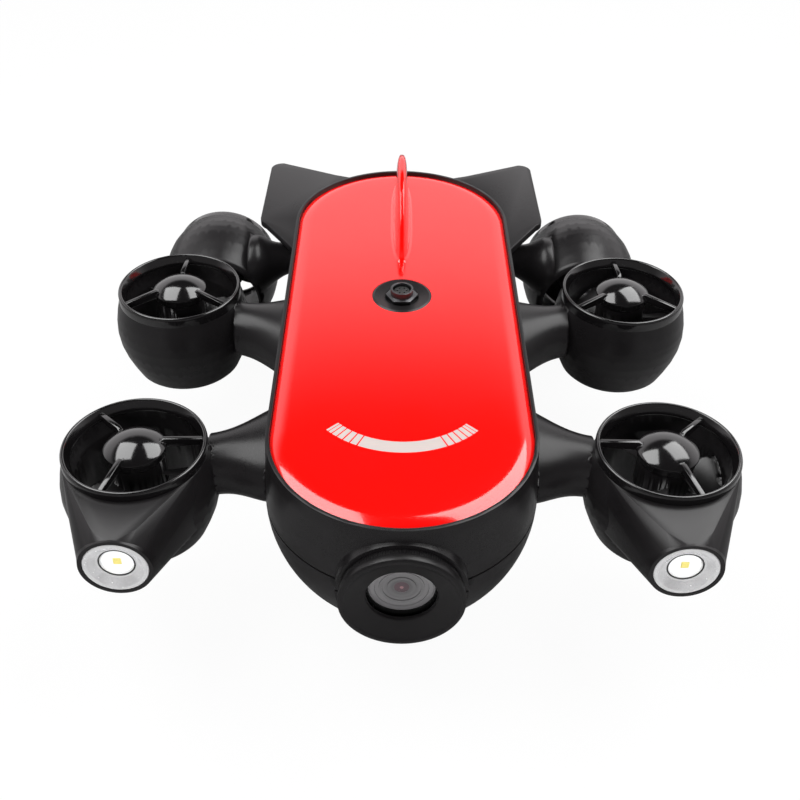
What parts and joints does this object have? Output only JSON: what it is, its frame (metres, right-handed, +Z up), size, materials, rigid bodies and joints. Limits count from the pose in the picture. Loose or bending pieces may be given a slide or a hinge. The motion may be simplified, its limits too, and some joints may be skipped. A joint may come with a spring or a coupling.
{
  "type": "underwater inspection rov",
  "caption": "Remotely operated underwater inspection vehicle: capsule hull with a flat cover and dorsal fin, front camera port, twin lamps, tail plates and ducted thrusters on arms.",
  "frame": {"origin": "on the floor under the skids, at the middle of the overall box in plan", "axes": "+Z up, the vehicle looks along -Y, its left side is +X"},
  "size_m": [0.3536, 0.3853, 0.158],
  "materials": {
    "hull_plastic": "satin",
    "guard_gloss": "gloss",
    "cover_red": "gloss",
    "propeller_plastic": "satin",
    "motor_can": "satin",
    "lamp_metal": "turned",
    "clear_glass": "polished",
    "lamp_board": "matte",
    "port_black": "satin",
    "lens_black": "gloss",
    "module_black": "matte",
    "connector_metal": "dark, satin",
    "connector_insert": "matte",
    "tray_metal": "mill",
    "battery_wrap": "satin",
    "board_green": "satin",
    "gasket_rubber": "matte",
    "skid_rubber": "matte",
    "screw_steel": "plain",
    "insert_brass": "plain"
  },
  "bodies": {
    "hull": {"accessory_insert": "insert_brass", "battery_pack": "battery_wrap", "bezel_ring": "port_black", "camera_lens": "lens_black", "camera_module": "module_black", "chassis_tray": "tray_metal", "connector_insert": "connector_insert", "connector_plate": "hull_plastic", "connector_shell": "connector_metal", "control_board": "board_green", "front_left_duct": "hull_plastic", "front_left_guard": "guard_gloss", "front_left_motor": "motor_can", "front_right_duct": "hull_plastic", "front_right_guard": "guard_gloss", "front_right_motor": "motor_can", "hull_gasket": "gasket_rubber", "knurled_ring": "port_black", "left_lamp_board": "lamp_board", "left_lamp_glass": "clear_glass", "left_lamp_ring": "lamp_metal", "lower_shell": "hull_plastic", "middle_left_duct": "hull_plastic", "middle_left_guard": "guard_gloss", "middle_left_motor": "motor_can", "middle_right_duct": "hull_plastic", "middle_right_guard": "guard_gloss", "middle_right_motor": "motor_can", "port_window": "clear_glass", "rear_left_duct": "hull_plastic", "rear_left_guard": "guard_gloss", "rear_left_motor": "motor_can", "rear_right_duct": "hull_plastic", "rear_right_guard": "guard_gloss", "rear_right_motor": "motor_can", "right_lamp_board": "lamp_board", "right_lamp_glass": "clear_glass", "right_lamp_ring": "lamp_metal", "shell_screws": "screw_steel", "skid_rails": "skid_rubber", "tail_left": "hull_plastic", "tail_right": "hull_plastic", "top_cover": "cover_red", "upper_shell": "hull_plastic"},
    "front_right_propeller": {"front_right_propeller": "propeller_plastic"},
    "middle_right_propeller": {"middle_right_propeller": "propeller_plastic"},
    "rear_right_propeller": {"rear_right_propeller": "propeller_plastic"},
    "front_left_propeller": {"front_left_propeller": "propeller_plastic"},
    "middle_left_propeller": {"middle_left_propeller": "propeller_plastic"},
    "rear_left_propeller": {"rear_left_propeller": "propeller_plastic"}
  },
  "joints": [
    {"name": "front_right_spin", "type": "hinge", "parent": "hull", "child": "front_right_propeller", "pos_m": [-0.136, -0.1093, 0.0776], "axis": [0, 0, 1], "continuous": true},
    {"name": "middle_right_spin", "type": "hinge", "parent": "hull", "child": "middle_right_propeller", "pos_m": [-0.136, 0.0355, 0.0776], "axis": [0, 0, 1], "continuous": true},
    {"name": "rear_right_spin", "type": "hinge", "parent": "hull", "child": "rear_right_propeller", "pos_m": [-0.124, 0.1161, 0.0615], "axis": [0, 1, 0], "continuous": true},
    {"name": "front_left_spin", "type": "hinge", "parent": "hull", "child": "front_left_propeller", "pos_m": [0.136, -0.1093, 0.0776], "axis": [0, 0, 1], "continuous": true},
    {"name": "middle_left_spin", "type": "hinge", "parent": "hull", "child": "middle_left_propeller", "pos_m": [0.136, 0.0355, 0.0776], "axis": [0, 0, 1], "continuous": true},
    {"name": "rear_left_spin", "type": "hinge", "parent": "hull", "child": "rear_left_propeller", "pos_m": [0.124, 0.1161, 0.0615], "axis": [0, 1, 0], "continuous": true}
  ]
}
